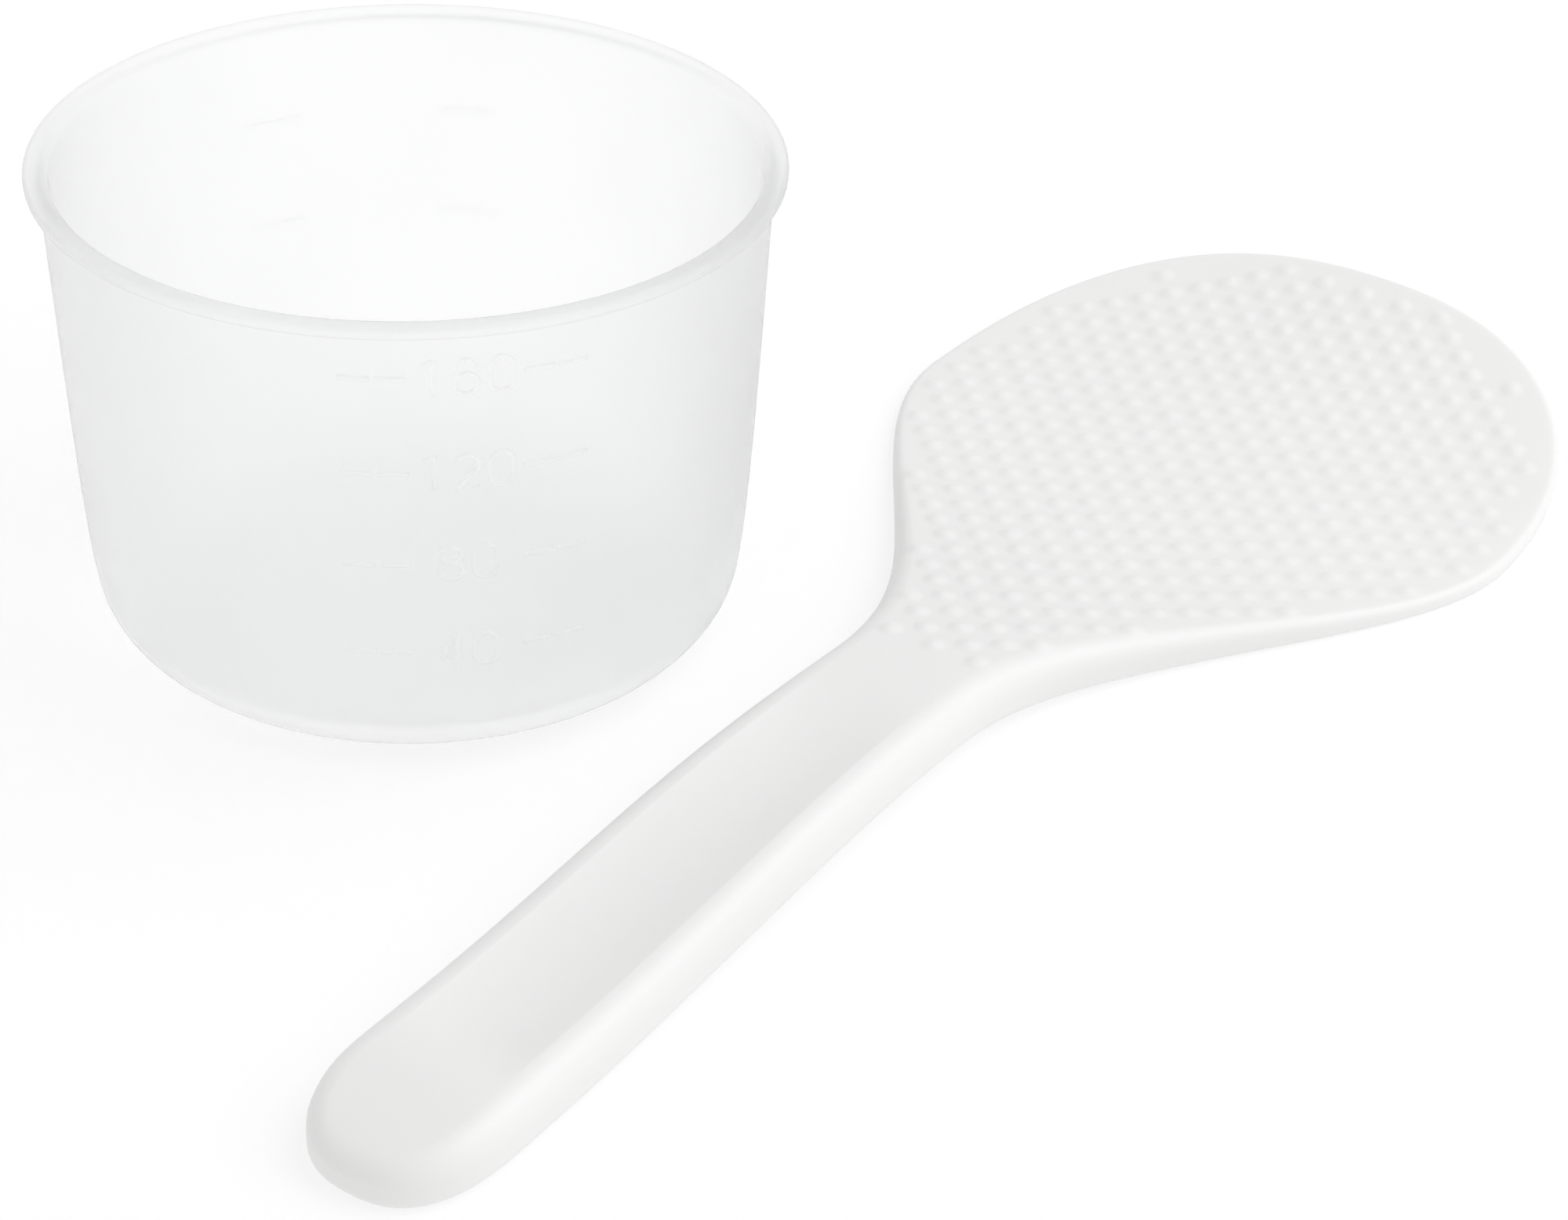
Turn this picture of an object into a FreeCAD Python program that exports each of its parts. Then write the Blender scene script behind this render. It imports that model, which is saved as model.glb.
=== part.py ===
import FreeCAD, Part
import math
import os
import Sketcher

V = FreeCAD.Vector
DEG = math.pi / 180
UP = V(0, 0, 1)

# Driving dimensions in millimetres and degrees, each in a cell of the sheet under its own alias.
SIZES = {
    # Where the two pieces lie: the paddle's axis runs along +Y, the cup stands at its left.
    "axis_spacing": 55.9,       # cup axis to paddle axis, along X
    "cup_setback": -21.0,       # cup axis from the middle of the paddle's length, along Y
    # Measuring cup, revolved about its own axis.
    "cup_height": 52.3,
    "lip_radius": 38.15,
    "lip_thick": 1.25,
    "lip_edge_round": 0.5,
    "throat_radius": 36.75,     # outside of the wall, just under the lip
    "throat_round": 1.3,        # hollow round between wall and lip
    "mouth_round": 0.9,         # inside round of the mouth
    "heel_radius": 34.4,        # outside of the wall, just above the heel's round
    "heel_round": 7.7,
    "wall_thick": 1.05,
    "floor_thick": 1.3,
    "foot_recess": 2.3,
    "foot_width": 1.3,          # flat face of the foot ring
    "corner_round": 4.5,        # inside round between wall and floor
    # Raised scale on the cup's wall.
    "scale_turn": 47.6,         # azimuth of the scale's middle, from -Y towards +X
    "mark_first": 15.2,         # height of the lowest mark
    "mark_pitch": 10.4,
    "mark_relief": 0.2,
    "mark_stroke": 0.5,
    "digit_tall": 4.2,
    "digit_wide": 2.75,
    "digit_pitch": 3.35,
    "dash_near": 5.5,           # from the scale's middle to its first dash
    "dash_long": 2.9,
    "dash_break": 0.45,
    "back_turn": 227.5,         # the faint scale on the far side
    "back_near": 7.6,
    "back_first": 28.4,
    "back_pitch": 12.1,
    # Paddle, symmetric about its own axis, centred on the middle of its length.
    "paddle_length": 198.0,
    "head_half": 37.95,          # half of the head's width
    "head_reach": 44.0,         # from the head's widest place to its tip
    "flare_reach": 68.5,        # from the neck to the head's widest place
    "neck_half": 8.75,
    "grip_half": 9.15,
    "grip_reach": 36.0,         # from the neck to where the grip has its full width
    "butt_reach": 13.0,          # length of the grip's rounded end
    "grip_thick": 6.3,
    "blade_thick": 1.9,
    "thin_start": 87.0,         # from the grip's end to where the thickness starts to fall
    "thin_reach": 60.0,
    "arch_start": 18.0,         # from the grip's end to where the underside leaves the table
    "arch_reach": 100.0,
    "arch_rise": 2.3,
    "sweep_reach": 42.0,        # length of the upswept tip
    "tip_rise": 6.0,
    "nose_reach": 13.0,         # length of the grip's end that rounds down
    "nose_drop": 2.0,
    "channel_start": 12.0,      # from the grip's end
    "channel_length": 74.0,
    "channel_half": 6.2,
    "channel_depth": 0.9,
    "channel_fade": 18.0,       # length over which the channel fades out towards the neck
    "channel_stop": 7.0,        # and towards the grip's end
    "bump_pitch": 2.65,
    "bump_radius": 0.85,
    "bump_rise": 0.35,
    "bump_margin": 2.6,
    "bump_start": 93.0,         # from the grip's end to the first row
}

HEAD_SQUARENESS = 2.33          # exponent of the head's superellipse
BUTT_SQUARENESS = 2.5
FLARE_LEAN = 1.12               # above 1 the flare opens later
OUTLINE_STEPS = 15              # points on each span of the outline
PROFILE_STEPS = 32              # points on each line of the side profile
CHANNEL_STEPS = 12              # sections of the channel
EMBED = 0.3                     # how deep a raised mark or bump is rooted

doc = FreeCAD.newDocument("cup_and_paddle")
sheet = doc.addObject("Spreadsheet::Sheet", "sizes")
for row, (alias, value) in enumerate(SIZES.items(), start=1):
    sheet.set(f"A{row}", alias)
    sheet.set(f"B{row}", str(value))
    sheet.setAlias(f"B{row}", alias)
doc.recompute()


def size(alias):
    """The sheet's present value of one named dimension."""
    return float(getattr(sheet, alias))


def ref(formula):
    """A formula written with bare aliases, as an expression that reads the sheet."""
    words = sorted(SIZES, key=len, reverse=True)
    out, i = "", 0
    while i < len(formula):
        word = next((w for w in words if formula.startswith(w, i)), None)
        out += f"sizes.{word}" if word else formula[i]
        i += len(word) if word else 1
    return out


# ---------------------------------------------------------------- document helpers

gauge = doc.addObject("App::FeaturePython", "gauge")
gauge.addProperty("App::PropertyFloat", "reading")


def worth(formula):
    """Present value of a formula over the sheet's aliases."""
    gauge.setExpression("reading", ref(formula))
    gauge.recompute()
    return gauge.reading


def shape_object(name, shape):
    """A document object that holds a shape worked out in code."""
    obj = doc.addObject("Part::Feature", name)
    obj.Shape = shape
    return obj


def combine(kind, name, base, tool):
    """A boolean of two objects of the document."""
    obj = doc.addObject(kind, name)
    obj.Base, obj.Tool = base, tool
    return obj


def finish(obj, label, along_x, along_y):
    """Name a finished sub-part and tie its place to the sheet."""
    obj.Label = label
    obj.setExpression("Placement.Base.x", ref(along_x))
    obj.setExpression("Placement.Base.y", ref(along_y))
    return obj


# ---------------------------------------------------------------- measuring cup

WALL_TOP = "cup_height - lip_thick - throat_round"

# Corners of the cup's half section: distance from the axis, height, and the radius of the round
# that leads to the corner. A round that turns clockwise has the mark "cw".
CUP_CORNERS = [
    ("0", "foot_recess", None, None),
    ("heel_radius - heel_round - foot_width", "foot_recess", None, None),
    ("heel_radius - heel_round - foot_width", "0", None, None),
    ("heel_radius - heel_round", "0", None, None),
    ("heel_radius", "heel_round", "heel_round", "ccw"),
    ("throat_radius", WALL_TOP, None, None),
    ("throat_radius + throat_round", "cup_height - lip_thick", "throat_round", "cw"),
    ("lip_radius - lip_edge_round", "cup_height - lip_thick", None, None),
    ("lip_radius", "cup_height - lip_thick + lip_edge_round", "lip_edge_round", "ccw"),
    ("lip_radius", "cup_height - lip_edge_round", None, None),
    ("lip_radius - lip_edge_round", "cup_height", "lip_edge_round", "ccw"),
    ("throat_radius - wall_thick + mouth_round", "cup_height", None, None),
    ("throat_radius - wall_thick", "cup_height - mouth_round", "mouth_round", "ccw"),
    ("heel_radius - wall_thick", "foot_recess + floor_thick + corner_round", None, None),
    ("heel_radius - wall_thick - corner_round", "foot_recess + floor_thick", "corner_round", "cw"),
    ("0", "foot_recess + floor_thick", None, None),
]


def round_between(start, end, radius, turn):
    """Arc of a given radius from start to end, turning ccw or cw."""
    chord = end - start
    middle = (start + end) / 2
    height = math.sqrt(max(radius ** 2 - chord.Length ** 2 / 4, 0))
    side = V(-chord.y, chord.x, 0).normalize() * (height if turn == "ccw" else -height)
    centre = middle + side
    first, last = (start, end) if turn == "ccw" else (end, start)
    angles = [math.atan2(p.y - centre.y, p.x - centre.x) for p in (first, last)]
    return Part.ArcOfCircle(Part.Circle(centre, UP, radius), *angles)


def pin(sketch, edge, end, along_x, along_y):
    """Hold one end of a sketch edge at a place given by two formulas."""
    for axis, kind, formula in ((-2, "DistanceX", along_x), (-1, "DistanceY", along_y)):
        if formula == "0":
            sketch.addConstraint(Sketcher.Constraint("PointOnObject", edge, end, axis))
        else:
            rule = Sketcher.Constraint(kind, -1, 1, edge, end, worth(formula))
            sketch.setExpression(f"Constraints[{sketch.addConstraint(rule)}]", ref(formula))


def section_sketch(body, name, corners):
    """A closed sketch on the body's XZ plane through pinned corners, with rounds where given."""
    sketch = body.newObject("Sketcher::SketchObject", name)
    plane = next(f for f in body.Origin.OriginFeatures if f.Role == "XZ_Plane")
    sketch.AttachmentSupport = [(plane, "")]
    sketch.MapMode = "FlatFace"
    points = [V(worth(x), worth(z), 0) for x, z, _, _ in corners]
    ends = []
    for i, (_, _, radius, turn) in enumerate(corners):
        start, end = points[i - 1], points[i]
        if radius is None:
            edge = sketch.addGeometry(Part.LineSegment(start, end))
        else:
            edge = sketch.addGeometry(round_between(start, end, worth(radius), turn))
            rule = Sketcher.Constraint("Radius", edge, worth(radius))
            sketch.setExpression(f"Constraints[{sketch.addConstraint(rule)}]", ref(radius))
        ends.append((edge, 1, 2) if turn != "cw" else (edge, 2, 1))
    for i, (edge, first, last) in enumerate(ends):
        before = ends[i - 1]
        sketch.addConstraint(Sketcher.Constraint("Coincident", before[0], before[2], edge, first))
        pin(sketch, edge, last, corners[i][0], corners[i][1])
    return sketch


def cup_moulding():
    """The plain cup: its half section turned about the Z axis."""
    body = doc.addObject("PartDesign::Body", "cup_body")
    sketch = section_sketch(body, "cup_section", CUP_CORNERS)
    turned = body.newObject("PartDesign::Revolution", "cup_turned")
    turned.Profile = sketch
    turned.ReferenceAxis = (sketch, ["V_Axis"])
    turned.Angle = 360
    return body


def wall_skin(name, outside):
    """A cone along the wall, moved out from the wall's face by a formula."""
    cone = doc.addObject("Part::Cone", name)
    cone.setExpression("Radius1", ref(f"heel_radius + {outside}"))
    cone.setExpression("Radius2", ref(f"throat_radius + {outside}"))
    cone.setExpression("Height", ref(f"{WALL_TOP} - heel_round"))
    cone.setExpression("Placement.Base.z", ref("heel_round"))
    return cone


# A digit is drawn flat, x to the right and y up from its lower left corner, out of slabs that
# are later stood up against the wall and trimmed to its skin.

def slab(face):
    """A flat face thickened to reach well past the wall's skin."""
    return face.extrude(UP * size("throat_radius"))


def bar(foot, top):
    """A straight stroke between two points."""
    start, end = V(*foot, 0), V(*top, 0)
    side = UP.cross(end - start).normalize() * size("mark_stroke") / 2
    corners = [start - side, end - side, end + side, start + side, start - side]
    return slab(Part.Face(Part.makePolygon(corners)))


def bow(centre, radius, first, last):
    """A round stroke just inside a radius, between two angles in degrees."""
    outer, inner = [[V(centre[0] + reach * math.cos(angle * DEG),
                       centre[1] + reach * math.sin(angle * DEG), 0)
                     for angle in (first, (first + last) / 2, last)]
                    for reach in (radius, radius - size("mark_stroke"))]
    edges = [Part.Arc(*outer), Part.LineSegment(outer[2], inner[2]),
             Part.Arc(*reversed(inner)), Part.LineSegment(inner[0], outer[0])]
    return slab(Part.Face(Part.Wire([edge.toShape() for edge in edges])))


def oval(foot, tall):
    """A closed oval stroke as wide as a digit, from a foot height up."""
    wide = size("digit_wide")
    slabs = []
    for inset in (0, size("mark_stroke")):
        edge = Part.Ellipse(V(), max(wide, tall) / 2 - inset, min(wide, tall) / 2 - inset).toShape()
        if tall > wide:
            edge.rotate(V(), UP, 90)
        slabs.append(slab(Part.Face(Part.Wire(edge))))
    ring = slabs[0].cut(slabs[1])
    ring.translate(V(wide / 2, foot + tall / 2, 0))
    return ring


def digit(name):
    """The strokes of one digit."""
    wide, tall, stroke = size("digit_wide"), size("digit_tall"), size("mark_stroke")
    low, high = stroke / 2, tall - stroke / 2
    if name == "0":
        return [oval(0, tall)]
    if name == "1":
        stem = wide * 0.6
        return [bar((stem, 0), (stem, tall)), bar((wide * 0.2, tall * 0.84), (stem, high))]
    if name == "2":
        turn = wide / 2
        heel = (turn + turn * math.cos(30 * DEG), tall - turn - turn * math.sin(30 * DEG))
        return [bow((turn, tall - turn), turn, -40, 180), bar((low, stroke), heel),
                bar((0, low), (wide, low))]
    if name == "4":
        stem, bridge = wide * 0.72, tall * 0.3
        return [bar((stem, 0), (stem, tall)), bar((0, bridge), (wide, bridge)),
                bar((low, bridge), (stem, high))]
    if name == "6":
        spine = tall * 0.72
        return [oval(0, tall * 0.58), bow((spine, tall * 0.3), spine, 104, 180)]
    return [oval(0, tall * 0.56), oval(tall * 0.56 - stroke, tall * 0.44 + stroke)]


def number(text):
    """The strokes of a number, drawn flat about its middle."""
    drawn = []
    for place, name in enumerate(text):
        start = (place - (len(text) - 1) / 2) * size("digit_pitch") - size("digit_wide") / 2
        for stroke in digit(name):
            stroke.translate(V(start, -size("digit_tall") / 2, 0))
            drawn.append(stroke)
    return drawn[0].multiFuse(drawn[1:])


def dashes(near):
    """Two level dashes on each side of the middle of a scale, drawn flat."""
    starts = (near, near + size("dash_long") + size("dash_break"))
    return [bar((side * start, 0), (side * (start + size("dash_long")), 0))
            for start in starts for side in (-1, 1)]


def stand_up(shapes, turn, height):
    """Flat drawings stood up against the wall at an azimuth from -Y and a height."""
    for shape in shapes:
        shape.rotate(V(), V(1, 0, 0), 90)
        shape.translate(V(0, 0, height))
        shape.rotate(V(), UP, turn)
    return shapes


def scale_slabs():
    """Every mark of both scales, as slabs that pass through the wall's skin."""
    marks = []
    for step, text in enumerate(("40", "80", "120", "160")):
        height = size("mark_first") + step * size("mark_pitch")
        marks += stand_up([number(text), *dashes(size("dash_near"))], size("scale_turn"), height)
    for step in range(2):
        height = size("back_first") + step * size("back_pitch")
        marks += stand_up(dashes(size("back_near")), size("back_turn"), height)
    return shape_object("scale_slabs", Part.makeCompound(marks))


def measuring_cup():
    """The cup with its raised scale."""
    skin = combine("Part::Cut", "scale_skin", wall_skin("skin_outside", "mark_relief"),
                   wall_skin("skin_inside", "-wall_thick / 2"))
    scale = combine("Part::Common", "raised_scale", skin, scale_slabs())
    cup = combine("Part::Fuse", "cup_with_scale", cup_moulding(), scale)
    return finish(cup, "measuring_cup", "(lip_radius - axis_spacing - head_half) / 2", "cup_setback")


# ---------------------------------------------------------------- rice paddle

def ease(share):
    """Smooth step from 0 to 1."""
    share = min(max(share, 0), 1)
    return share * share * (3 - 2 * share)


def butt():
    """Place of the grip's end on the paddle's axis."""
    return -size("paddle_length") / 2


def widest():
    """Place of the head's widest section on the paddle's axis."""
    return -butt() - size("head_reach")


def half_width(along):
    """Half of the paddle's width at a place on its axis."""
    neck_at = widest() - size("flare_reach")
    if along > widest():
        share = min((along - widest()) / size("head_reach"), 1)
        return size("head_half") * (1 - share ** HEAD_SQUARENESS) ** (1 / HEAD_SQUARENESS)
    if along > neck_at:
        share = ease(((along - neck_at) / size("flare_reach")) ** FLARE_LEAN)
        return size("neck_half") + (size("head_half") - size("neck_half")) * share
    grip = ease((neck_at - along) / size("grip_reach"))
    half = size("neck_half") + (size("grip_half") - size("neck_half")) * grip
    share = max((butt() + size("butt_reach") - along) / size("butt_reach"), 0)
    return half * (1 - min(share, 1) ** BUTT_SQUARENESS) ** (1 / BUTT_SQUARENESS)


def underside(along):
    """Height of the underside: an arch under the grip and a tip that sweeps up."""
    arch = (along - butt() - size("arch_start")) / size("arch_reach")
    lift = size("arch_rise") * math.sin(math.pi * min(max(arch, 0), 1)) ** 2
    sweep = (along + butt() + size("sweep_reach")) / size("sweep_reach")
    return lift + size("tip_rise") * max(sweep, 0) ** 2


def thickness(along):
    """Thickness, full in the grip and thin in the blade."""
    share = ease((along - butt() - size("thin_start")) / size("thin_reach"))
    nose = max((butt() + size("nose_reach") - along) / size("nose_reach"), 0)
    full = size("grip_thick") - size("nose_drop") * nose ** 2
    return full + (size("blade_thick") - full) * share


def topside(along):
    return underside(along) + thickness(along)


def spread(start, end, steps, ends="both"):
    """Stations from start to end, closer together near one or both ends."""
    stations = []
    for step in range(steps + 1):
        share = step / steps
        if ends == "both":
            share = (1 - math.cos(math.pi * share)) / 2
        elif ends == "first":
            share = 1 - math.cos(math.pi * share / 2)
        else:
            share = math.sin(math.pi * share / 2)
        stations.append(start + (end - start) * share)
    return stations


def paddle_outline():
    """Plan of the paddle as a face, its edge one closed curve parted beside the neck."""
    low = widest() - size("flare_reach")
    high = low + size("flare_reach") / 2
    up = (spread(low, high, OUTLINE_STEPS) + spread(high, widest(), 4)[1:]
          + spread(widest(), -butt(), OUTLINE_STEPS, "last")[1:])
    down = (spread(butt(), butt() + size("butt_reach"), OUTLINE_STEPS, "first")
            + spread(butt() + size("butt_reach"), low, OUTLINE_STEPS)[1:-1])
    right = [V(half_width(y), y, 0) for y in up]
    left = [V(-half_width(y), y, 0) for y in reversed(down + up[:-1])]
    curve = Part.BSplineCurve()
    curve.interpolate(Points=right + left + [V(half_width(y), y, 0) for y in down[1:]], PeriodicFlag=True)
    stops = [curve.parameter(V(side * half_width(y), y, 0))
             for side, y in ((1, high), (-1, high), (-1, low))]
    stops = [curve.FirstParameter, *stops, curve.LastParameter]
    edges = [curve.toShape(first, last) for first, last in zip(stops, stops[1:])]
    return shape_object("paddle_outline", Part.Face(Part.Wire(edges)))


def smooth_edge(points):
    """A smooth curve through points, as an edge."""
    curve = Part.BSplineCurve()
    curve.interpolate(Points=points)
    return curve.toShape()


def paddle_profile():
    """Side view of the paddle as a face, a little longer than the paddle."""
    reach = size("paddle_length") / 2 + EMBED
    stations = [reach * (2 * step / PROFILE_STEPS - 1) for step in range(PROFILE_STEPS + 1)]
    low = [V(0, y, underside(y)) for y in stations]
    high = [V(0, y, topside(y)) for y in stations]
    edges = [smooth_edge(low), Part.LineSegment(low[-1], high[-1]).toShape(),
             smooth_edge(high), Part.LineSegment(high[0], low[0]).toShape()]
    return shape_object("paddle_profile", Part.Face(Part.Wire(Part.__sortEdges__(edges))))


def extrusion(name, base, direction, length, both_ways=False):
    """An extruded face whose length is tied to the sheet."""
    obj = doc.addObject("Part::Extrusion", name)
    obj.Base, obj.DirMode, obj.Dir = base, "Custom", direction
    obj.Solid, obj.Symmetric = True, both_ways
    obj.setExpression("LengthFwd", ref(length))
    return obj


def channel():
    """The shallow hollow along the grip's top, as the solid to cut away."""
    half, depth = size("channel_half"), size("channel_depth")
    radius = (half ** 2 + depth ** 2) / (2 * depth)
    start, length = butt() + size("channel_start"), size("channel_length")
    sections = []
    for station in spread(start, start + length, CHANNEL_STEPS):
        share = ease((station - start) / size("channel_stop"))
        share *= ease((start + length - station) / size("channel_fade"))
        floor = topside(station) - depth * share + EMBED * (1 - share) ** 2
        roof = topside(station) + depth
        reach = math.sqrt(radius ** 2 - (radius - roof + floor) ** 2)
        left, right = V(-reach, station, roof), V(reach, station, roof)
        arc = Part.Arc(left, V(0, station, floor), right)
        sections.append(Part.Wire([arc.toShape(), Part.LineSegment(right, left).toShape()]))
    return shape_object("channel", Part.makeLoft(sections, True))


def bumps():
    """Low round studs in staggered rows over the head's top."""
    pitch, margin = size("bump_pitch"), size("bump_margin")
    tall = size("bump_rise") + EMBED
    found, row = [], 0
    along = butt() + size("bump_start")
    while along < -butt() - margin:
        room = min(half_width(along), half_width(along + margin)) - margin
        reach = int(room // pitch)
        for column in range(-reach, reach + 1):
            if (column + row) % 2 == 0:
                root = V(column * pitch, along, topside(along) - EMBED)
                found.append(Part.makeCylinder(size("bump_radius"), tall, root))
        along += pitch
        row += 1
    return shape_object("bumps", Part.makeCompound(found))


def rice_paddle():
    """The paddle: plan and side view in common, hollowed and covered with bumps."""
    plan = extrusion("paddle_prism", paddle_outline(), UP, "grip_thick + arch_rise + tip_rise")
    side = extrusion("paddle_slice", paddle_profile(), V(1, 0, 0), "3 * head_half", True)
    blank = combine("Part::Common", "paddle_blank", plan, side)
    hollowed = combine("Part::Cut", "paddle_hollowed", blank, channel())
    paddle = combine("Part::Fuse", "paddle_with_bumps", hollowed, bumps())
    return finish(paddle, "rice_paddle", "(lip_radius + axis_spacing - head_half) / 2", "0")


# ---------------------------------------------------------------- build, check and write

def failures(parts):
    """Names of the objects that failed to build."""
    bad = [obj.Name for obj in doc.Objects if {"Invalid", "Error"} & set(obj.State)]
    return bad + [part.Label for part in parts if part.Shape.isNull() or not part.Shape.isValid()]


finished = [measuring_cup(), rice_paddle()]
doc.removeObject(gauge.Name)
doc.recompute()
problems = failures(finished)
if problems:
    raise RuntimeError(f"these objects failed to build: {problems}")

os.makedirs("parts", exist_ok=True)
for part in finished:
    solid = part.Shape
    box = solid.BoundBox
    print(f"{part.Label}: {len(solid.Solids)} solid, {solid.Volume:.1f} mm3, "
          f"x {box.XMin:.2f}..{box.XMax:.2f}, y {box.YMin:.2f}..{box.YMax:.2f}, "
          f"z {box.ZMin:.2f}..{box.ZMax:.2f}")
    solid.exportStep(f"parts/{part.Label}.step")
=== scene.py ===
"""Looks of a measuring cup and a rice paddle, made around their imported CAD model."""
import logging
import math
from dataclasses import dataclass
from enum import Enum

import bpy
import numpy as np
from mathutils import Matrix, Vector


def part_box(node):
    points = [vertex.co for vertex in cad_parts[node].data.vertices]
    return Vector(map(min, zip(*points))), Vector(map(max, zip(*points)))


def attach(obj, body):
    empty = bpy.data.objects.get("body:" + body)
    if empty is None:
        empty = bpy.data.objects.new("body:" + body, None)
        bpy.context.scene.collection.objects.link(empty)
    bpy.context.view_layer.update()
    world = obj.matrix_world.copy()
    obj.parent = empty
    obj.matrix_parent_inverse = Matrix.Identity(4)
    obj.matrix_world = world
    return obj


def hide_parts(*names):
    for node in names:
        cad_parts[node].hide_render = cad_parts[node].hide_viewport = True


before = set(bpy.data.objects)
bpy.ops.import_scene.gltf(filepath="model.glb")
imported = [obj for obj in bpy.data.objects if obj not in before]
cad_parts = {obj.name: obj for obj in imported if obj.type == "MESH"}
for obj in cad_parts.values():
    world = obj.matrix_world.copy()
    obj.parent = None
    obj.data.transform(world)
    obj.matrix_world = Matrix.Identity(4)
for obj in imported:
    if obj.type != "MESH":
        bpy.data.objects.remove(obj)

LOG = logging.getLogger("cup_and_paddle")
MM = 0.001
JOIN = 1e-4             # ends of a pen line that are nearer than this meet, in millimetres
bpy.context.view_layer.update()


class Relief(Enum):
    """Which way a mark stands on the surface that carries it."""

    RAISED = "UNION"
    SUNK = "DIFFERENCE"


# ---------------------------------------------------------------- shader maths

class Wire:
    """A node socket that adds Math nodes when it is used in an expression."""

    def __init__(self, bench: "Bench", socket: bpy.types.NodeSocket) -> None:
        """Wrap a socket of the bench's material."""
        self.bench = bench
        self.socket = socket

    def _math(self, operation: str, *values: object) -> "Wire":
        """Add a Math node.

        Args:
            operation: the node's operation.
            values: its inputs, as wires or numbers.

        Returns:
            The node's result.
        """
        return self.bench.node("ShaderNodeMath", {"operation": operation}, dict(enumerate(values)))

    def __add__(self, other: object) -> "Wire":
        """Sum."""
        return self._math("ADD", self, other)

    def __radd__(self, other: object) -> "Wire":
        """Sum with a number on the left."""
        return self._math("ADD", other, self)

    def __sub__(self, other: object) -> "Wire":
        """Difference."""
        return self._math("SUBTRACT", self, other)

    def __rsub__(self, other: object) -> "Wire":
        """Difference from a number on the left."""
        return self._math("SUBTRACT", other, self)

    def __mul__(self, other: object) -> "Wire":
        """Product."""
        return self._math("MULTIPLY", self, other)

    def __rmul__(self, other: object) -> "Wire":
        """Product with a number on the left."""
        return self._math("MULTIPLY", other, self)


class Bench:
    """A material under construction."""

    def __init__(self, name: str) -> None:
        """Start a material with no nodes but its output."""
        self.material = bpy.data.materials.new(name)
        self.material.use_nodes = True
        self.tree = self.material.node_tree
        self.tree.nodes.clear()

    def node(self, kind: str, settings: dict, inputs: dict, output: object = 0) -> Wire:
        """Add any node.

        Args:
            kind: the node's type.
            settings: properties set before the sockets; "stops" fills a colour ramp.
            inputs: values or wires by socket name or number.
            output: name or number of the socket to return.

        Returns:
            The chosen output.
        """
        made = self.tree.nodes.new(kind)
        for key, value in settings.items():
            if key == "stops":
                for stop, (place, colour) in zip(made.color_ramp.elements, value):
                    stop.position, stop.color = place, colour
            else:
                setattr(made, key, value)
        for key, value in inputs.items():
            if isinstance(value, Wire):
                self.tree.links.new(value.socket, made.inputs[key])
            else:
                made.inputs[key].default_value = value
        socket = made.outputs[output] if made.outputs else made.inputs[0]
        return Wire(self, socket)

    def finish(self, shader: Wire) -> bpy.types.Material:
        """Join the shader to the output and hand over the material."""
        self.node("ShaderNodeOutputMaterial", {}, {"Surface": shader})
        return self.material


# ---------------------------------------------------------------- finishes

@dataclass(frozen=True)
class MouldedPlastic:
    """Polypropylene as it leaves the mould.

    Lengths are in metres.
    """

    name: str
    colour: tuple[float, float, float]
    shade_swing: float          # how far the colour drifts over the moulding
    roughness: float
    roughness_swing: float
    subsurface: float
    scatter_depth: float
    transmission: float
    ior: float
    grain_size: float
    grain_height: float
    flow_size: float            # spacing of the broad flow marks

    def material(self) -> bpy.types.Material:
        """Build the material.

        Returns:
            The finished material.
        """
        bench = Bench(self.name)
        place = bench.node("ShaderNodeTexCoord", {}, {}, "Object")
        flow = bench.node("ShaderNodeTexNoise", {}, {"Vector": place, "Scale": 1 / self.flow_size,
                                                     "Detail": 2.0, "Roughness": 0.45}, "Fac")
        grain = bench.node("ShaderNodeTexNoise", {}, {"Vector": place, "Scale": 1 / self.grain_size,
                                                      "Detail": 3.0, "Roughness": 0.6}, "Fac")
        stops = [(0.25, self._tone(-1)), (0.75, self._tone(1))]
        tone = bench.node("ShaderNodeValToRGB", {"stops": stops}, {"Fac": flow}, "Color")
        rough = self.roughness + (flow - 0.5) * self.roughness_swing + (grain - 0.5) * self.roughness_swing
        bump = bench.node("ShaderNodeBump", {}, {"Height": grain, "Strength": 1.0,
                                                 "Distance": self.grain_height}, "Normal")
        shader = bench.node("ShaderNodeBsdfPrincipled", {"subsurface_method": "RANDOM_WALK"}, {
            "Base Color": tone, "Roughness": rough, "Normal": bump, "IOR": self.ior,
            "Subsurface Weight": self.subsurface, "Subsurface Scale": self.scatter_depth,
            "Subsurface Radius": (1.0, 0.97, 0.93), "Transmission Weight": self.transmission})
        return bench.finish(shader)

    def _tone(self, side: int) -> tuple[float, float, float, float]:
        """Colour at one end of the drift."""
        return (*(channel * (1 + side * self.shade_swing) for channel in self.colour), 1.0)


CUP_PLASTIC = MouldedPlastic(
    name="frosted_cup_plastic", colour=(0.965, 0.967, 0.967), shade_swing=0.006, roughness=0.55,
    roughness_swing=0.06, subsurface=0.0, scatter_depth=0.004, transmission=1.0, ior=1.21,
    grain_size=0.0009, grain_height=0.000004, flow_size=0.018)
PADDLE_PLASTIC = MouldedPlastic(
    name="satin_paddle_plastic", colour=(0.81, 0.81, 0.806), shade_swing=0.006, roughness=0.42,
    roughness_swing=0.08, subsurface=0.35, scatter_depth=0.003, transmission=0.0, ior=1.49,
    grain_size=0.0007, grain_height=0.000006, flow_size=0.03)


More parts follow.
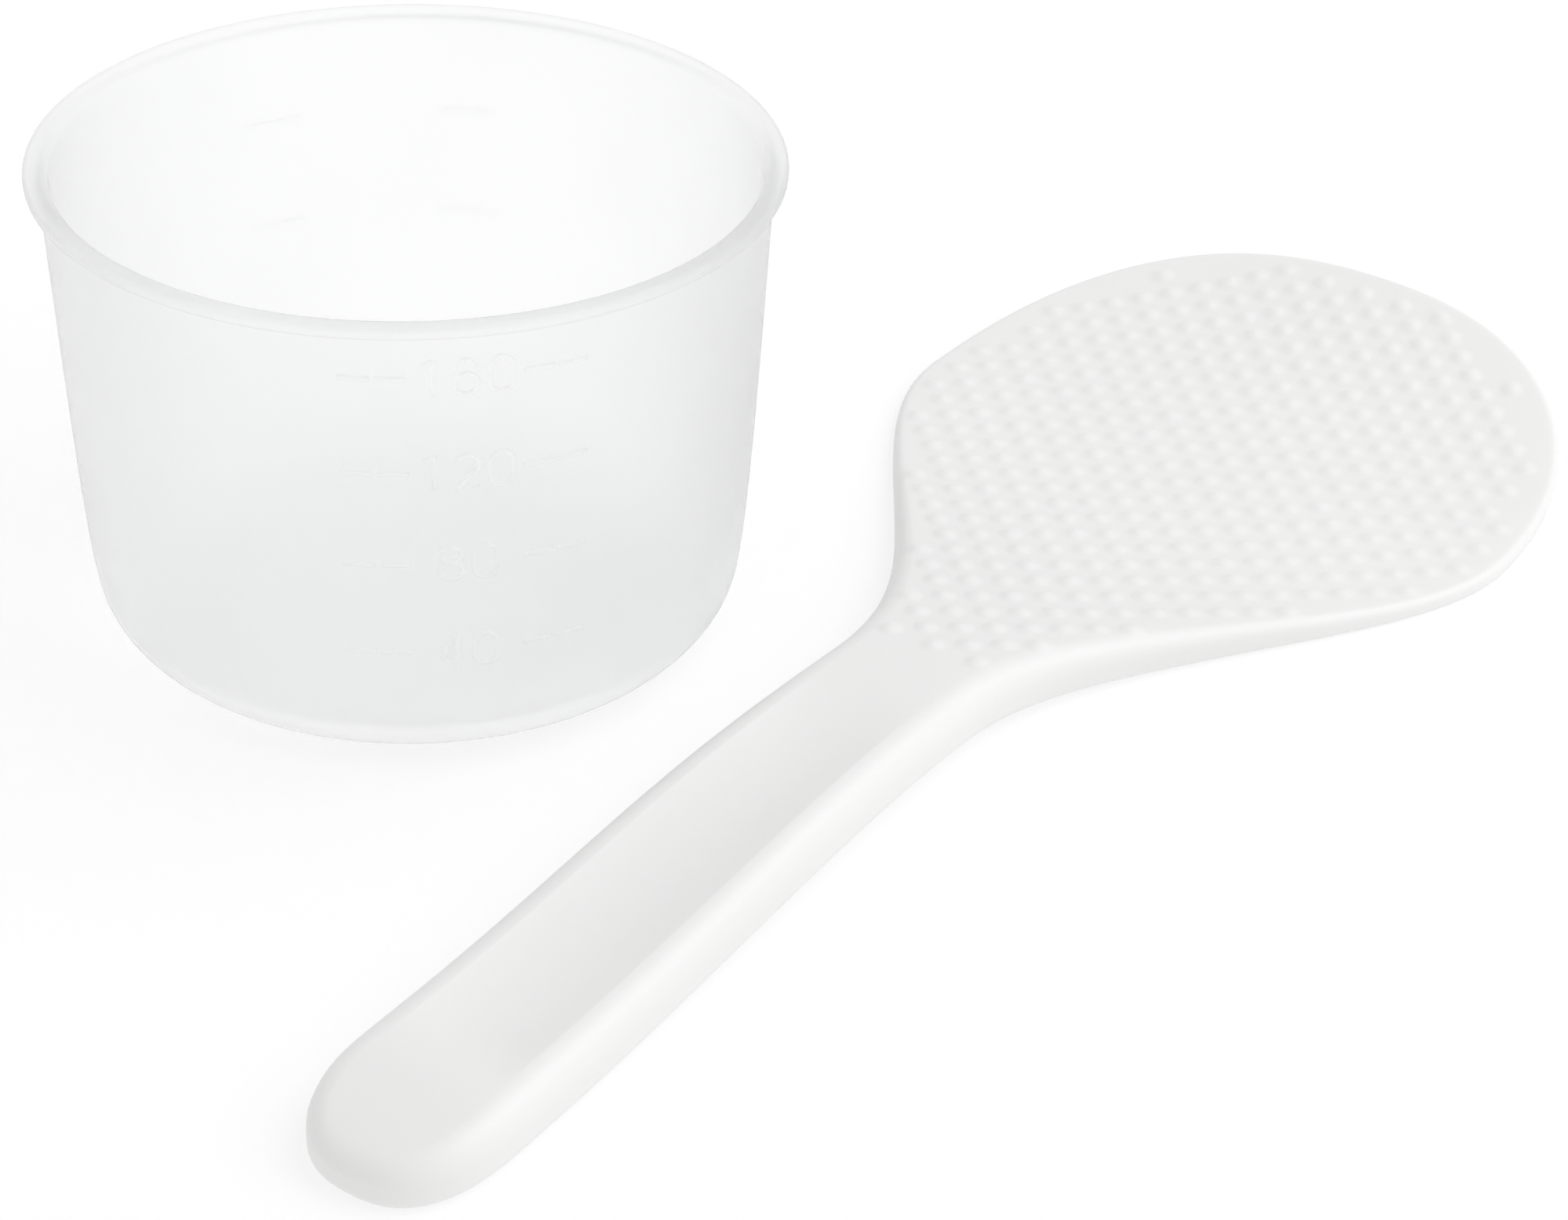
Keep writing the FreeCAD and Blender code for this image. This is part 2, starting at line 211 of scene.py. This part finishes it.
@dataclass(frozen=True)
class FloorPaint:
    """Matt white studio floor."""

    name: str = "studio_floor"
    colour: tuple[float, float, float, float] = (0.30, 0.30, 0.30, 1.0)
    roughness: float = 0.9
    glow: float = 0.69

    def material(self) -> bpy.types.Material:
        """Build the material."""
        bench = Bench(self.name)
        return bench.finish(bench.node("ShaderNodeBsdfPrincipled", {}, {
            "Base Color": self.colour, "Roughness": self.roughness, "Specular IOR Level": 0.1,
            "Emission Color": (1.0, 1.0, 1.0, 1.0), "Emission Strength": self.glow}))


# ---------------------------------------------------------------- modelling helpers

def ease(share: np.ndarray) -> np.ndarray:
    """Smooth step from 0 to 1, for numbers or arrays."""
    share = np.clip(share, 0.0, 1.0)
    return share * share * (3.0 - 2.0 * share)


def clear_selection() -> None:
    """Leave edit mode and deselect everything."""
    if bpy.context.object and bpy.context.object.mode != "OBJECT":
        bpy.ops.object.mode_set(mode="OBJECT")
    bpy.ops.object.select_all(action="DESELECT")


def take_up(piece: bpy.types.Object) -> None:
    """Make one object the only selected one, and active."""
    clear_selection()
    piece.select_set(True)
    bpy.context.view_layer.objects.active = piece


def stand_on_node(piece: bpy.types.Object, node: str) -> None:
    """Bring a piece that was drawn in millimetres to the place of its CAD node.

    Args:
        piece: the piece, centred on the Z axis with its lowest point at the origin's height.
        node: the node whose box it fills.
    """
    low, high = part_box(node)
    piece.scale = (MM, MM, MM)
    piece.location = ((low[0] + high[0]) / 2, (low[1] + high[1]) / 2, low[2])
    take_up(piece)
    bpy.ops.object.transform_apply(location=True, rotation=True, scale=True)


def smooth(piece: bpy.types.Object, angle: float) -> None:
    """Shade a piece smooth except across edges sharper than an angle in degrees."""
    take_up(piece)
    bpy.ops.object.shade_smooth_by_angle(angle=math.radians(angle))


def apply_modifiers(piece: bpy.types.Object) -> None:
    """Apply every modifier of a piece in order."""
    take_up(piece)
    for modifier in list(piece.modifiers):
        bpy.ops.object.modifier_apply(modifier=modifier.name)


def facing(azimuth: float, elevation: float) -> Matrix:
    """Turn of a camera or lamp that looks inward from an azimuth and an elevation in degrees."""
    return (Matrix.Rotation(math.radians(azimuth), 4, "Z")
            @ Matrix.Rotation(math.radians(90 - elevation), 4, "X"))


def arc(centre: tuple[float, float], radius: float, first: float, last: float,
        steps: int) -> list[tuple[float, float]]:
    """Points of a round in a flat drawing.

    Args:
        centre: its centre.
        radius: its radius.
        first: angle of the first point, in degrees.
        last: angle of the last point.
        steps: number of stretches between them.

    Returns:
        The points, ends included.
    """
    angles = [math.radians(first + (last - first) * step / steps) for step in range(steps + 1)]
    return [(centre[0] + radius * math.cos(a), centre[1] + radius * math.sin(a)) for a in angles]


# ---------------------------------------------------------------- measuring cup

@dataclass
class MeasuringCup:
    """The frosted cup with its flared lip and its scale. Sizes are in millimetres."""

    height: float = 52.3
    lip_radius: float = 38.15
    lip_thick: float = 1.25
    lip_edge: float = 0.55
    throat_radius: float = 36.75
    throat_round: float = 0.7
    mouth_round: float = 0.9
    heel_radius: float = 34.4
    heel_round: float = 7.7
    wall: float = 1.05
    floor: float = 1.3
    recess: float = 2.3
    foot_width: float = 1.3
    corner_round: float = 4.5
    wall_bulge: float = 0.35
    bulge_lean: float = 0.55        # below 1, the wall bulges most under its middle
    floor_rings: tuple[float, ...] = (2.0, 8.0, 16.0)
    recess_round: float = 1.0
    foot_round: float = 0.25
    draft: float = 4.0              # the wall's lean where it meets a round, in degrees
    wall_rings: int = 44
    segments: int = 288
    crease: float = 32.0            # edges sharper than this stay sharp, in degrees
    scale_turn: float = 47.6
    mark_first: float = 15.2
    mark_pitch: float = 10.4
    mark_radius: float = 0.27
    mark_proud: float = 0.21
    relief: Relief = Relief.RAISED
    digit_tall: float = 3.7
    digit_wide: float = 2.2
    digit_pitch: float = 3.35
    dash_near: float = 5.5
    dash_long: float = 2.9
    dash_break: float = 0.45
    dash_steps: int = 5
    back_turn: float = 227.5
    back_near: float = 7.6
    back_first: float = 28.4
    back_pitch: float = 12.1

    def wall_top(self) -> float:
        """Height where the wall turns out into the lip."""
        return self.height - self.lip_thick - self.throat_round

    def outside(self, z: float) -> float:
        """Outer radius of the wall at a height."""
        share = min(max((z - self.heel_round) / (self.wall_top() - self.heel_round), 0.0), 1.0)
        straight = self.heel_radius + (self.throat_radius - self.heel_radius) * share
        return straight + self.wall_bulge * math.sin(math.pi * share ** self.bulge_lean)

    def outline(self) -> list[tuple[float, float]]:
        """Half section of the cup, from under the floor round the lip to the inside.

        Returns:
            Radius and height of each point.
        """
        ring_in = self.heel_radius - self.heel_round - self.foot_width
        floor_top = self.recess + self.floor
        points = [(radius, self.recess) for radius in (*self.floor_rings, ring_in - 1.6)]
        points += arc((ring_in - 1.2, self.recess - self.recess_round), self.recess_round, 90, 15, 5)[1:]
        points += arc((ring_in + self.foot_round, self.foot_round), self.foot_round, 180, 270, 4)
        heel = (self.heel_radius - self.heel_round, self.heel_round)
        points += arc(heel, self.heel_round, -90, -self.draft, 18)
        rises = np.linspace(0.02, 1.0, self.wall_rings)
        points += [(self.outside(z), z)
                   for z in self.heel_round + rises * (self.wall_top() - self.heel_round)]
        underside = self.height - self.lip_thick
        points += arc((self.throat_radius + self.throat_round, underside - self.throat_round),
                      self.throat_round, 180, 90, 6)[1:]
        points += arc((self.lip_radius - self.lip_edge, underside + self.lip_edge), self.lip_edge, -90, 0, 5)
        points += arc((self.lip_radius - self.lip_edge, self.height - self.lip_edge), self.lip_edge, 0, 90, 5)
        inner = self.throat_radius - self.wall
        mouth = (inner + self.mouth_round, self.height - self.mouth_round)
        points += arc(mouth, self.mouth_round, 90, 180, 7)
        falls = np.linspace(0.98, 0.0, self.wall_rings - 4)
        wall_foot = self.heel_round + 0.6
        points += [(self.outside(z) - self.wall, z)
                   for z in wall_foot + falls * (self.wall_top() - wall_foot)]
        bend = (self.heel_radius - self.wall - self.corner_round, floor_top + self.corner_round)
        points += arc(bend, self.corner_round, -self.draft, -90, 12)
        points += [(radius, floor_top) for radius in (20.0, 10.0, 2.0)]
        return points

    def turn_wall(self) -> bpy.types.Object:
        """Turn the half section: a disc whose rim is extruded from ring to ring.

        Returns:
            The plain cup, closed and centred on the Z axis, in millimetres.
        """
        points = self.outline()
        clear_selection()
        start, depth = points[0]
        bpy.ops.mesh.primitive_circle_add(vertices=self.segments, radius=start, fill_type="NGON",
                                          location=(0, 0, depth))
        cup = bpy.context.object
        bpy.ops.object.transform_apply(location=True)
        bpy.ops.object.mode_set(mode="EDIT")
        bpy.ops.mesh.select_mode(type="EDGE")
        bpy.ops.mesh.select_all(action="SELECT")
        for (before, low), (after, high) in zip(points, points[1:]):
            bpy.ops.mesh.extrude_edges_move(TRANSFORM_OT_translate={"value": (0, 0, high - low)})
            bpy.ops.transform.resize(value=(after / before, after / before, 1), center_override=(0, 0, 0))
        bpy.ops.mesh.edge_face_add()
        bpy.ops.mesh.select_all(action="SELECT")
        bpy.ops.mesh.normals_make_consistent(inside=False)
        bpy.ops.object.mode_set(mode="OBJECT")
        return cup

    def on_wall(self, turn: float, x: float, z: float) -> Vector:
        """Pen's place on the wall, straight in from a flat drawing held against it.

        Args:
            turn: azimuth of the drawing's middle, from -Y in degrees.
            x: distance from that middle, to the right.
            z: height.

        Returns:
            The point, just far enough inside the wall for the pen to stand proud.
        """
        inward = self.mark_radius - self.mark_proud
        reach = self.outside(z) - inward * (1 if self.relief is Relief.RAISED else -1)
        angle = math.radians(turn) + math.asin(x / reach)
        return Vector((reach * math.sin(angle), -reach * math.cos(angle), z))

    def digit(self, name: str) -> list[list[tuple[float, float]]]:
        """Pen lines of one digit.

        Args:
            name: the digit.

        Returns:
            Its lines, x to the right and y up from its lower left corner.
        """
        w, t = self.digit_wide, self.digit_tall
        r = w / 2
        if name == "0":
            return [arc((r, t - r), r, 0, 180, 14) + arc((r, r), r, 180, 360, 14) + [(w, t - r)]]
        if name == "1":
            stem = w * 0.62
            return [[(stem, 0), (stem, t / 2), (stem, t)], [(w * 0.16, t * 0.86), (stem, t)]]
        if name == "2":
            hook = arc((r, t - r), r, 170, -38, 16)
            return [hook + [(w * 0.08, t * 0.06)], [(0, 0), (r, 0), (w, 0)]]
        if name == "4":
            stem, bridge = w * 0.72, t * 0.3
            return [[(stem, 0), (stem, t / 2), (stem, t)], [(0, bridge), (r, bridge), (w, bridge)],
                    [(0, bridge), (stem, t)]]
        if name == "6":
            bowl = t * 0.3
            loop = [(r + r * math.cos(a), bowl + bowl * math.sin(a))
                    for a in np.linspace(0, 2 * math.pi, 25)]
            spine = [(r + r * math.cos(a), bowl + (t - bowl) * math.sin(a))
                     for a in np.linspace(math.radians(40), math.pi, 14)]
            return [loop, spine]
        waist = t * 0.54
        loops = [((t + waist) / 2, (t - waist) / 2, 0.92), (waist / 2, waist / 2, 1.0)]
        return [[(r + r * wide * math.cos(a), mid + half * math.sin(a))
                 for a in np.linspace(0, 2 * math.pi, 25)] for mid, half, wide in loops]

    def number(self, text: str, turn: float, z: float) -> list[list[Vector]]:
        """Pen lines of a number on the wall, its middle at an azimuth and a height."""
        lines = []
        for place, name in enumerate(text):
            start = (place - (len(text) - 1) / 2) * self.digit_pitch - self.digit_wide / 2
            lines += [[self.on_wall(turn, start + x, z + y - self.digit_tall / 2) for x, y in line]
                      for line in self.digit(name)]
        return lines

    def dashes(self, turn: float, near: float, z: float) -> list[list[Vector]]:
        """Pen lines of two dashes on either side of the middle of a scale.

        Args:
            turn: azimuth of the middle.
            near: distance of the first dash from the middle.
            z: height.

        Returns:
            The lines.
        """
        lines = []
        for start in (near, near + self.dash_long + self.dash_break):
            for side in (-1, 1):
                lines.append([self.on_wall(turn, side * (start + self.dash_long * step / self.dash_steps), z)
                              for step in range(self.dash_steps + 1)])
        return lines

    def pen_lines(self) -> list[list[Vector]]:
        """Every line of both scales."""
        lines = []
        for step, text in enumerate(("40", "80", "120", "160")):
            z = self.mark_first + step * self.mark_pitch
            lines += self.dashes(self.scale_turn, self.dash_near, z) + self.number(text, self.scale_turn, z)
        for step in range(2):
            lines += self.dashes(self.back_turn, self.back_near, self.back_first + step * self.back_pitch)
        return lines

    def cut_scale(self, cup: bpy.types.Object) -> None:
        """Work the scale into the wall with a round pen.

        Args:
            cup: the plain cup.
        """
        pen = bpy.data.curves.new("scale_pen", "CURVE")
        pen.dimensions, pen.bevel_depth, pen.bevel_resolution = "3D", self.mark_radius, 3
        pen.use_fill_caps = True
        for line in self.pen_lines():
            closed = (line[0] - line[-1]).length < JOIN
            points = line[:-1] if closed else line
            spline = pen.splines.new("POLY")
            spline.points.add(len(points) - 1)
            spline.use_cyclic_u = closed
            for point, place in zip(spline.points, points):
                point.co = (*place, 1.0)
        tool = bpy.data.objects.new("scale_pen", pen)
        bpy.context.collection.objects.link(tool)
        take_up(tool)
        bpy.ops.object.convert(target="MESH")
        tool = bpy.context.object
        cut = cup.modifiers.new("scale", "BOOLEAN")
        cut.operation, cut.solver, cut.use_self = self.relief.value, "EXACT", True
        cut.object = tool
        apply_modifiers(cup)
        bpy.data.objects.remove(tool)

    def build(self) -> bpy.types.Object:
        """Make the cup where its CAD node stands.

        Returns:
            The finished piece.
        """
        cup = self.turn_wall()
        self.cut_scale(cup)
        cup.name = cup.data.name = "frosted_cup"
        stand_on_node(cup, "measuring_cup")
        smooth(cup, self.crease)
        cup.data.materials.clear()
        cup.data.materials.append(CUP_PLASTIC.material())
        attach(cup, "cup")
        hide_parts("measuring_cup")
        return cup


# ---------------------------------------------------------------- rice paddle

@dataclass
class RicePaddle:
    """The white paddle, symmetric about its axis. Sizes are in millimetres."""

    length: float = 198.0
    head_half: float = 37.95
    head_reach: float = 44.0
    head_squareness: float = 2.33
    flare_reach: float = 68.5
    flare_lean: float = 1.12
    neck_half: float = 8.75
    grip_half: float = 9.15
    grip_reach: float = 36.0
    butt_reach: float = 13.0
    butt_squareness: float = 2.5
    grip_thick: float = 6.3
    blade_thick: float = 1.9
    thin_start: float = 87.0
    thin_reach: float = 60.0
    arch_start: float = 18.0
    arch_reach: float = 100.0
    arch_rise: float = 2.3
    sweep_reach: float = 42.0
    tip_rise: float = 6.0
    nose_reach: float = 13.0
    nose_drop: float = 2.2
    channel_start: float = 12.0
    channel_length: float = 74.0
    channel_rim: float = 2.9
    channel_depth: float = 0.9
    channel_fade: float = 18.0
    channel_stop: float = 7.0
    bump_pitch: float = 2.65
    bump_reach: float = 1.6
    bump_rise: float = 0.36
    bump_margin: float = 2.6
    bump_start: float = 93.0
    top_round: float = 0.42         # rounds of the edge as shares of the thickness
    top_round_gain: float = 0.06    # what the head's edge adds to it
    gain_start: float = -20.0
    gain_reach: float = 30.0
    low_round: float = 0.3
    fine: float = 0.42              # spacing of the skin's points on the head
    edge_points: int = 7
    under_points: int = 33
    grip_rows: int = 64
    butt_rows: int = 17
    tip_rows: int = 22
    tip_reach: float = 6.0
    weld: float = 0.004
    crease: float = 60.0            # edges sharper than this stay sharp, in degrees

    def butt(self) -> float:
        """Place of the grip's end on the axis."""
        return -self.length / 2

    def widest(self) -> float:
        """Place of the head's widest section on the axis."""
        return self.length / 2 - self.head_reach

    def half_width(self, y: np.ndarray) -> np.ndarray:
        """Half of the paddle's width at places on its axis."""
        neck = self.widest() - self.flare_reach
        head_share = np.clip((y - self.widest()) / self.head_reach, 0, 1)
        head = self.head_half * (1 - head_share ** self.head_squareness) ** (1 / self.head_squareness)
        flare_share = np.clip((y - neck) / self.flare_reach, 0, 1) ** self.flare_lean
        flare = self.neck_half + (self.head_half - self.neck_half) * ease(flare_share)
        grip = self.neck_half + (self.grip_half - self.neck_half) * ease((neck - y) / self.grip_reach)
        end_share = np.clip((self.butt() + self.butt_reach - y) / self.butt_reach, 0, 1)
        grip = grip * (1 - end_share ** self.butt_squareness) ** (1 / self.butt_squareness)
        return np.where(y > self.widest(), head, np.where(y > neck, flare, grip))

    def underside(self, y: np.ndarray) -> np.ndarray:
        """Height of the underside."""
        arch = np.clip((y - self.butt() - self.arch_start) / self.arch_reach, 0, 1)
        sweep = np.clip((y - self.length / 2 + self.sweep_reach) / self.sweep_reach, 0, None)
        return self.arch_rise * np.sin(np.pi * arch) ** 2 + self.tip_rise * sweep ** 2

    def thickness(self, y: np.ndarray) -> np.ndarray:
        """Thickness, full in the grip and thin in the blade."""
        share = ease((y - self.butt() - self.thin_start) / self.thin_reach)
        nose = np.clip((self.butt() + self.nose_reach - y) / self.nose_reach, 0, 1) ** 2
        return self.grip_thick + (self.blade_thick - self.grip_thick) * share - self.nose_drop * nose

    def channel(self, x: np.ndarray, y: np.ndarray) -> np.ndarray:
        """Depth of the hollow along the grip's top."""
        start = self.butt() + self.channel_start
        share = ease((y - start) / self.channel_stop)
        share = share * ease((start + self.channel_length - y) / self.channel_fade)
        half = np.maximum(self.half_width(y) - self.channel_rim, 1.0)
        return self.channel_depth * share * np.clip(1 - (x / half) ** 2, 0, None)

    def bumps(self, x: np.ndarray, y: np.ndarray, edge: np.ndarray) -> np.ndarray:
        """Height of the low round bumps, in staggered rows over the head.

        Args:
            x: places across the paddle.
            y: places along it.
            edge: distance of each place from the outline; not used.

        Returns:
            Height above the plain top.
        """
        row = np.round((y - self.butt() - self.bump_start) / self.bump_pitch)
        best = np.zeros_like(x)
        for step in (-1, 0, 1):
            line = row + step
            shift = np.mod(line, 2)
            column = 2 * np.round((x / self.bump_pitch - shift) / 2) + shift
            cy = self.butt() + self.bump_start + line * self.bump_pitch
            cx = column * self.bump_pitch
            away = np.hypot(x - cx, y - cy) / self.bump_reach
            room = np.minimum(self.half_width(cy), self.half_width(cy + self.bump_margin))
            inside = (np.abs(cx) <= room - self.bump_margin) & (line >= 0)
            dome = np.clip(1 - away ** 2, 0, None) ** 2
            best = np.maximum(best, np.where(inside, dome, 0.0))
        return self.bump_rise * best

    def outline_gap(self, x: np.ndarray, y: np.ndarray) -> np.ndarray:
        """Distance of places from the paddle's outline."""
        quarter = np.linspace(0, np.pi / 2, 500)
        stations = np.concatenate([
            self.butt() + self.butt_reach * (1 - np.cos(quarter)),
            np.linspace(self.butt() + self.butt_reach, self.widest(), 900),
            self.widest() + self.head_reach * np.sin(quarter)])
        rim = np.stack([self.half_width(stations), stations], axis=1)
        gap = np.empty_like(x)
        batch = 4000            # places measured at a time, which keeps the table of distances small
        for first in range(0, x.size, batch):
            part = slice(first, first + batch)
            away = np.hypot(np.abs(x[part])[:, None] - rim[:, 0], y[part][:, None] - rim[:, 1])
            gap[part] = away.min(axis=1)
        return gap

    def stations(self) -> np.ndarray:
        """Places along the axis where the skin has a row."""
        quarter = np.linspace(0, 1, self.butt_rows)
        butt_end = self.butt() + self.butt_reach * (1 - np.cos(np.pi / 2 * quarter))
        neck = self.butt() + self.bump_start - 2 * self.bump_pitch
        grip = np.linspace(butt_end[-1], neck, self.grip_rows)
        head = np.arange(neck, self.length / 2 - self.tip_reach, self.fine)
        quarter = np.linspace(0, 1, self.tip_rows)
        tip = head[-1] + (self.length / 2 - head[-1]) * np.sin(np.pi / 2 * quarter)
        return np.concatenate([butt_end, grip[1:], head[1:], tip[1:]])

    def ring(self) -> tuple[np.ndarray, np.ndarray, np.ndarray]:
        """How the points of a row lie round the section.

        Returns:
            For each point its share across from -1 to 1, its inset share of the edge's round, and
            its level: 1 on top, -1 underneath, and between them on the side.
        """
        edge = np.ones(self.edge_points)
        rounds = 1 - np.cos(np.linspace(0, np.pi / 2, self.edge_points))
        half = int(2 * self.head_half / self.fine) // 2
        flat = np.linspace(-1, 1, 2 * half + 1)[1:-1]
        under = np.linspace(-1, 1, self.under_points)[1:-1]
        across = np.concatenate([-edge, flat, edge, [1.0], edge, under[::-1], -edge, [-1.0, -1.0]])
        inset = np.concatenate([rounds, np.ones(flat.size), rounds[::-1], [0.0],
                                rounds, np.ones(under.size), rounds[::-1], [0.0, 0.0]])
        level = np.concatenate([np.ones(2 * edge.size + flat.size), [0.0],
                                -np.ones(2 * edge.size + under.size), [0.0, 1.0]])
        return across, inset, level

    def shape_skin(self, paddle: bpy.types.Object, stations: np.ndarray) -> None:
        """Move the skin's grid to the paddle's surface.

        Args:
            paddle: a grid with a row for each station.
            stations: places of the rows on the axis.
        """
        across, inset, level = self.ring()
        y, share = np.meshgrid(stations, across, indexing="ij")
        inset = np.broadcast_to(inset, y.shape)
        level = np.broadcast_to(level, y.shape)
        thick = self.thickness(y)
        over = thick * (self.top_round
                        + self.top_round_gain * ease((y - self.gain_start) / self.gain_reach))
        below = thick * self.low_round
        half = self.half_width(y)
        reach = np.minimum(np.where(level > 0, over, below), half * 0.5)
        flat = np.abs(share) < 1
        x = np.where(flat, share * (half - reach), share * (half - reach * inset))
        gap = self.outline_gap(x.ravel(), y.ravel()).reshape(x.shape)
        gap = np.where(~flat & (inset == 0), 0.0, gap)
        deep = np.clip(over - gap, 0, None)
        top = self.underside(y) + thick - (over - np.sqrt(np.clip(over ** 2 - deep ** 2, 0, None)))
        top = top - self.channel(x, y) + self.bumps(x, y, gap)
        deep = np.clip(below - gap, 0, None)
        bottom = self.underside(y) + below - np.sqrt(np.clip(below ** 2 - deep ** 2, 0, None))
        z = np.where(level > 0, top, np.where(level < 0, bottom, (top + bottom) / 2))
        paddle.data.vertices.foreach_set("co", np.stack([x, y, z], axis=-1).astype(np.float32).ravel())
        paddle.data.update()

    def build(self) -> bpy.types.Object:
        """Make the paddle where its CAD node lies.

        Returns:
            The finished piece.
        """
        stations = self.stations()
        across, _, _ = self.ring()
        clear_selection()
        bpy.ops.mesh.primitive_grid_add(x_subdivisions=len(across) - 1, y_subdivisions=len(stations) - 1)
        paddle = bpy.context.object
        self.shape_skin(paddle, stations)
        bpy.ops.object.mode_set(mode="EDIT")
        bpy.ops.mesh.select_all(action="SELECT")
        bpy.ops.mesh.remove_doubles(threshold=self.weld)
        bpy.ops.mesh.normals_make_consistent(inside=False)
        bpy.ops.object.mode_set(mode="OBJECT")
        paddle.name = paddle.data.name = "white_paddle"
        stand_on_node(paddle, "rice_paddle")
        smooth(paddle, self.crease)
        paddle.data.materials.append(PADDLE_PLASTIC.material())
        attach(paddle, "paddle")
        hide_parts("rice_paddle")
        return paddle


# ---------------------------------------------------------------- studio

@dataclass
class Studio:
    """Floor, light and camera. Lengths are in metres, angles in degrees."""

    azimuth: float = 33.0
    elevation: float = 32.845
    roll: float = 2.378
    distance: float = 0.3608
    aim: tuple[float, float, float] = (0.00583, -0.0004, 0.0)
    lens: float = 76.2
    sensor: float = 36.0
    sky: float = 0.74
    floor_half: float = 3.0

    def floor(self) -> None:
        """Lay the plain floor just under the set."""
        clear_selection()
        bpy.ops.mesh.primitive_plane_add(size=2 * self.floor_half)
        floor = bpy.context.object
        floor.name = "studio_floor"
        floor.data.materials.append(FloorPaint().material())

    def lamp(self, name: str, azimuth: float, elevation: float, reach: float, size: float,
             power: float) -> None:
        """Hang one soft square lamp that faces the set.

        Args:
            name: the lamp's name.
            azimuth: its azimuth, as the camera's.
            elevation: its height above the horizon.
            reach: its distance.
            size: its side.
            power: its power in watts.
        """
        light = bpy.data.lights.new(name, "AREA")
        light.size, light.energy = size, power
        lamp = bpy.data.objects.new(name, light)
        bpy.context.collection.objects.link(lamp)
        lamp.matrix_world = facing(azimuth, elevation) @ Matrix.Translation((0, 0, reach))

    def light(self) -> None:
        """Set the even sky and the key lamp."""
        world = bpy.data.worlds.new("studio_sky")
        world.use_nodes = True
        ground = world.node_tree.nodes["Background"]
        ground.inputs["Color"].default_value = (1.0, 1.0, 1.0, 1.0)
        ground.inputs["Strength"].default_value = self.sky
        scene = bpy.context.scene
        scene.world = world
        scene.view_settings.view_transform = "Standard"
        self.lamp("key_lamp", azimuth=124, elevation=50, reach=1.6, size=1.5, power=12.5)

    def camera(self) -> None:
        """Place the camera."""
        data = bpy.data.cameras.new("studio_camera")
        data.lens, data.sensor_width = self.lens, self.sensor
        data.clip_start, data.clip_end = 0.01, 50.0
        camera = bpy.data.objects.new("studio_camera", data)
        bpy.context.collection.objects.link(camera)
        camera.matrix_world = (Matrix.Translation(self.aim) @ facing(self.azimuth, self.elevation)
                               @ Matrix.Translation((0, 0, self.distance))
                               @ Matrix.Rotation(math.radians(self.roll), 4, "Z"))
        bpy.context.scene.camera = camera

    def build(self) -> None:
        """Make the whole studio."""
        self.camera()
        self.floor()
        self.light()


def main() -> None:
    """Build the studio and the set."""
    logging.basicConfig(level=logging.INFO, format="%(name)s: %(message)s")
    Studio().build()
    for maker in (MeasuringCup(), RicePaddle()):
        piece = maker.build()
        LOG.info("%s: %d faces", piece.name, len(piece.data.polygons))


if __name__ == "__main__":
    main()
